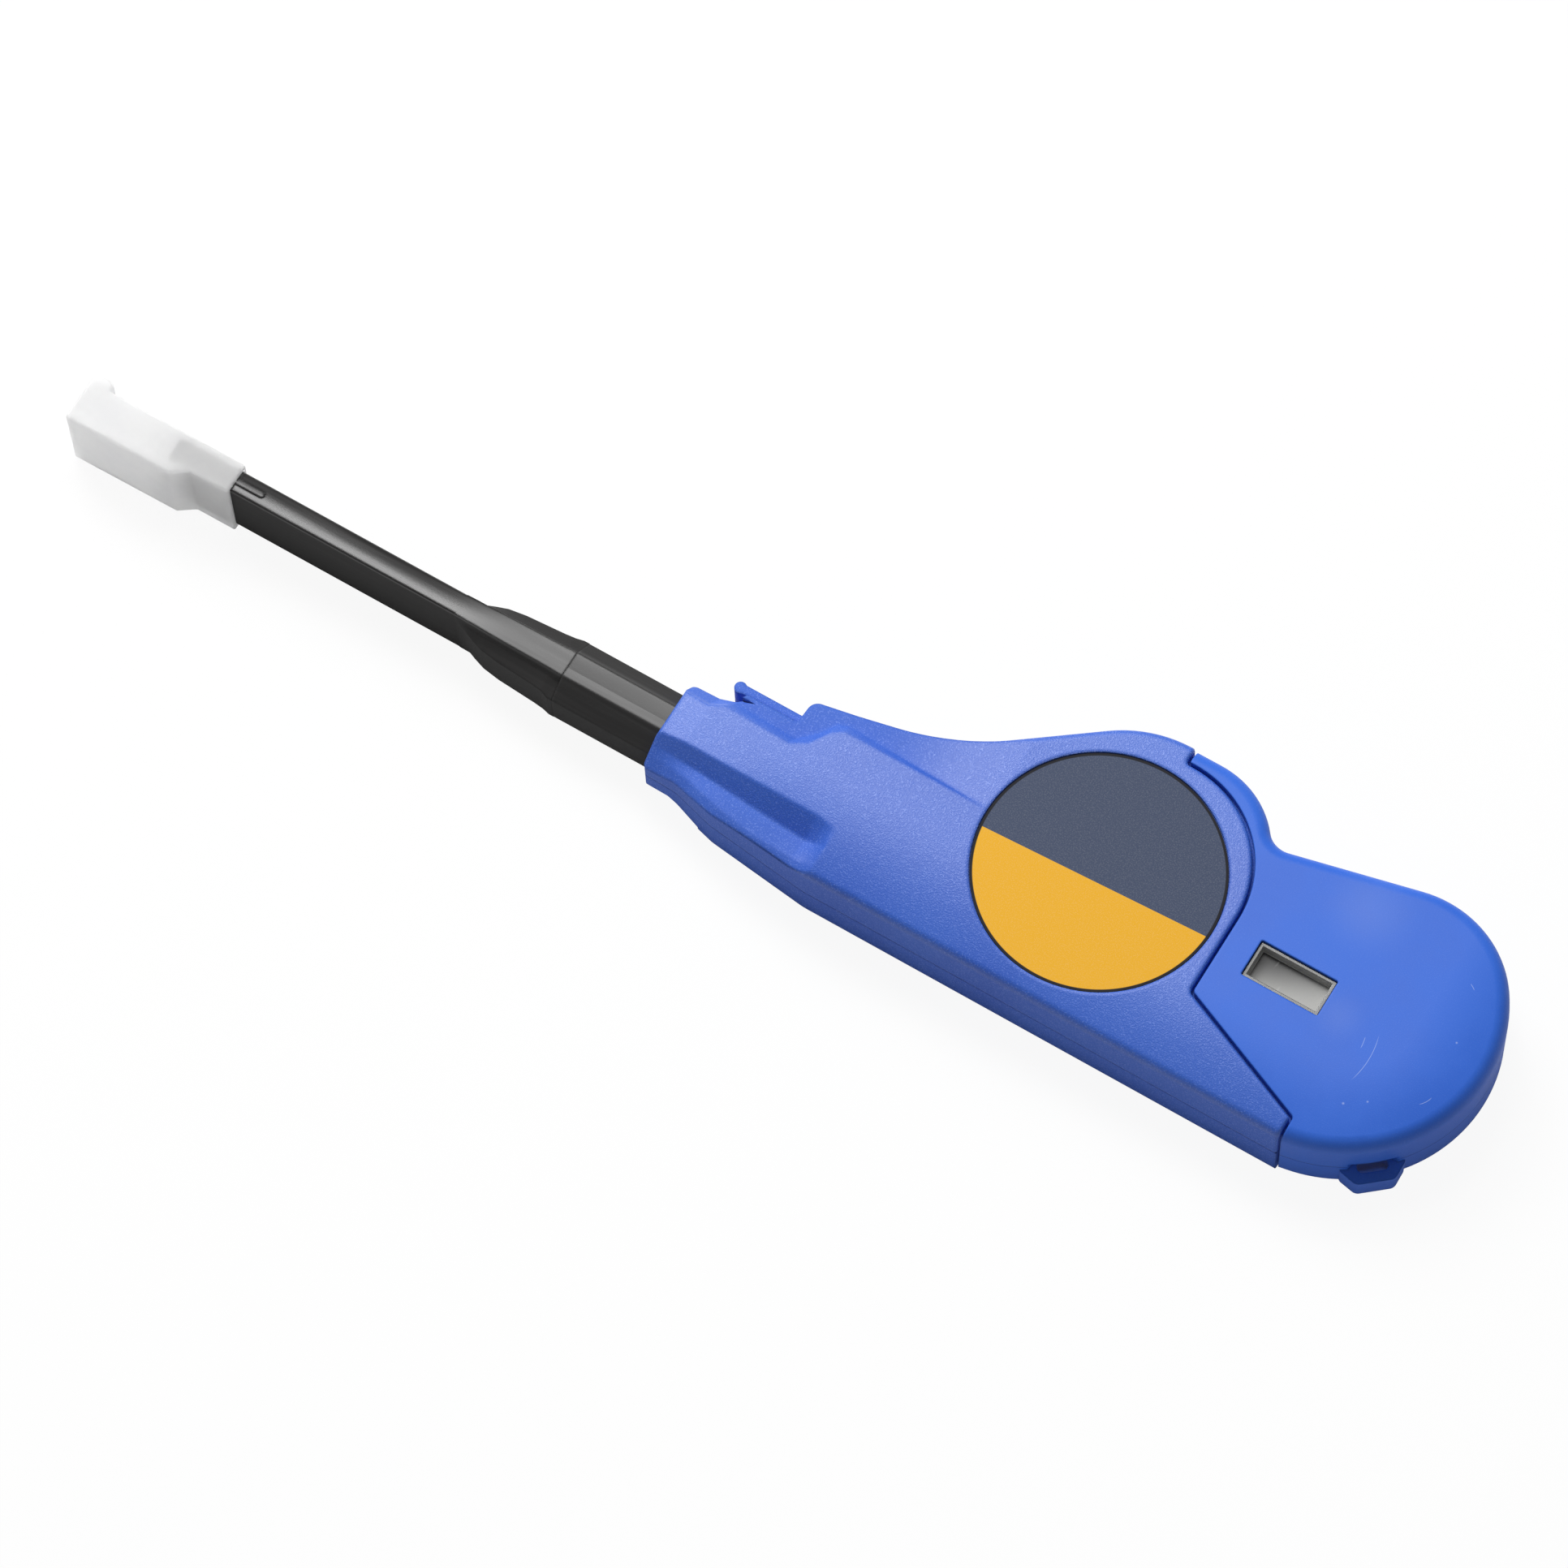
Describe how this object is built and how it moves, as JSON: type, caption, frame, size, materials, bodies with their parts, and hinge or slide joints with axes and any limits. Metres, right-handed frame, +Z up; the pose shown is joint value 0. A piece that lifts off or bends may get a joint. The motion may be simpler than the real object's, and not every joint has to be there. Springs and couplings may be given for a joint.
{
  "type": "fibre connector cleaning pen",
  "caption": "Push-type tape cleaner for fibre connectors: flat blue two-part housing, slim grey sliding shaft with a frosted tip cap, round label, clear window and lanyard eye.",
  "frame": {"origin": "on the flat underside, below the common centre of the round label and the take-up reel", "axes": "+X along the tool from the tip to the round tail, +Z up from the flat underside to the labelled face, +Y towards the round boss"},
  "size_m": [0.245, 0.0488, 0.0146],
  "materials": {
    "blue_front": "fine grained satin",
    "blue_rear": "smooth, slightly glossy",
    "label": "printed, semi-gloss",
    "clear_window": "clear moulded plastic",
    "screw_steel": "plain",
    "sleeve_grey": "satin",
    "mechanism_natural": "satin",
    "spring_steel": "plain wire",
    "reel_white": "satin",
    "tape": "fine woven",
    "frosted_cap": "frosted, translucent"
  },
  "bodies": {
    "housing": {"front_shell_upper": "blue_front", "front_shell_lower": "blue_front", "rear_shell_upper": "blue_rear", "rear_shell_lower": "blue_rear", "round_label": "label", "inspection_window": "clear_window", "housing_screws": "screw_steel", "pawl_pin": "screw_steel", "lever_pin": "screw_steel", "return_spring": "spring_steel", "cleaning_tape": "tape"},
    "shaft": {"shaft_sleeve": "sleeve_grey", "shaft_base": "sleeve_grey", "drive_rack": "mechanism_natural", "tip_spring": "spring_steel"},
    "tip": {"tip_head": "mechanism_natural", "tape_guide": "mechanism_natural"},
    "cap": {"dust_cap": "frosted_cap"},
    "gear": {"drive_gear": "mechanism_natural", "clutch_ring": "mechanism_natural"},
    "take_up": {"take_up_reel": "reel_white", "used_tape_roll": "tape"},
    "supply": {"supply_reel": "reel_white", "fresh_tape_roll": "tape"},
    "supply_guide": {"supply_roller": "mechanism_natural"},
    "return_guide": {"return_roller": "mechanism_natural"},
    "pawl": {"stop_pawl": "mechanism_natural"},
    "lever": {"release_lever": "blue_front"}
  },
  "joints": [
    {"name": "shaft_slide", "type": "slide", "parent": "housing", "child": "shaft", "axis": [1, 0, 0], "range_m": [0, 0.01], "stiffness_N_per_m": 250, "springref_m": -0.006, "deforming": ["return_spring", "cleaning_tape"]},
    {"name": "tip_slide", "type": "slide", "parent": "shaft", "child": "tip", "axis": [1, 0, 0], "range_m": [0, 0.001], "stiffness_N_per_m": 300, "springref_m": -0.002, "deforming": ["tip_spring"]},
    {"name": "cap_pull", "type": "slide", "parent": "shaft", "child": "cap", "axis": [-1, 0, 0], "range_m": [0, 0.02]},
    {"name": "gear_spin", "type": "hinge", "parent": "housing", "child": "gear", "pos_m": [0, 0, 0.0025], "axis": [0, 0, 1], "range_deg": [0, 52.2]},
    {"name": "take_up_spin", "type": "hinge", "parent": "housing", "child": "take_up", "pos_m": [0, 0, 0.0073], "axis": [0, 0, 1], "continuous": true},
    {"name": "supply_spin", "type": "hinge", "parent": "housing", "child": "supply", "pos_m": [0.0452, 0, 0.0073], "axis": [0, 0, 1], "continuous": true},
    {"name": "supply_roller_spin", "type": "hinge", "parent": "housing", "child": "supply_guide", "pos_m": [-0.03, -0.01385, 0.0073], "axis": [0, 0, 1], "continuous": true},
    {"name": "return_roller_spin", "type": "hinge", "parent": "housing", "child": "return_guide", "pos_m": [-0.03, -0.00905, 0.0073], "axis": [0, 0, 1], "continuous": true},
    {"name": "pawl_swing", "type": "hinge", "parent": "housing", "child": "pawl", "pos_m": [0.0085, 0.0156, 0.0037], "axis": [0, 0, -1], "range_deg": [0, 6], "stiffness_Nm_per_rad": 0.001, "springref_deg": -5.73},
    {"name": "lever_swing", "type": "hinge", "parent": "housing", "child": "lever", "pos_m": [-0.0495, -0.00045, 0.0073], "axis": [0, 0, 1], "range_deg": [-5, 1.2], "stiffness_Nm_per_rad": 0.02}
  ],
  "couplings": [
    {"joint": "gear_spin", "follows": "shaft_slide", "rad_per_m": 90.909},
    {"joint": "supply_spin", "follows": "take_up_spin", "ratio": -0.4332},
    {"joint": "supply_roller_spin", "follows": "take_up_spin", "ratio": 4.0303},
    {"joint": "return_roller_spin", "follows": "take_up_spin", "ratio": 4.0303}
  ]
}
